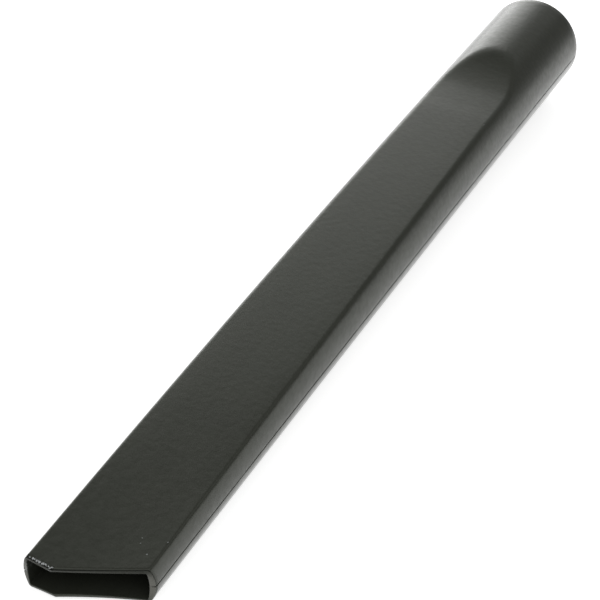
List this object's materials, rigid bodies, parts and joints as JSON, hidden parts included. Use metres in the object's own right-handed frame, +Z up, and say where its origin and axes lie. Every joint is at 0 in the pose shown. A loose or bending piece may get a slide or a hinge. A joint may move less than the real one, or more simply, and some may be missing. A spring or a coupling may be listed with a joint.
{
  "type": "vacuum crevice tool",
  "caption": "Long flat plastic nozzle with a slanted rectangular mouth and a round push-on wand socket, for vacuuming narrow gaps.",
  "frame": {"origin": "on the surface that the tool lies on, under the centre of its box", "axes": "+Y along the tool from the mouth to the socket, whose axis rises 2.7 degrees as the tool lies; +X to the right of that; +Z up"},
  "size_m": [0.0364, 0.3058, 0.0379],
  "materials": {
    "black_plastic": "moulded, fine satin spark-eroded grain"
  },
  "bodies": {
    "root": {"crevice_tool": "black_plastic"}
  },
  "joints": []
}
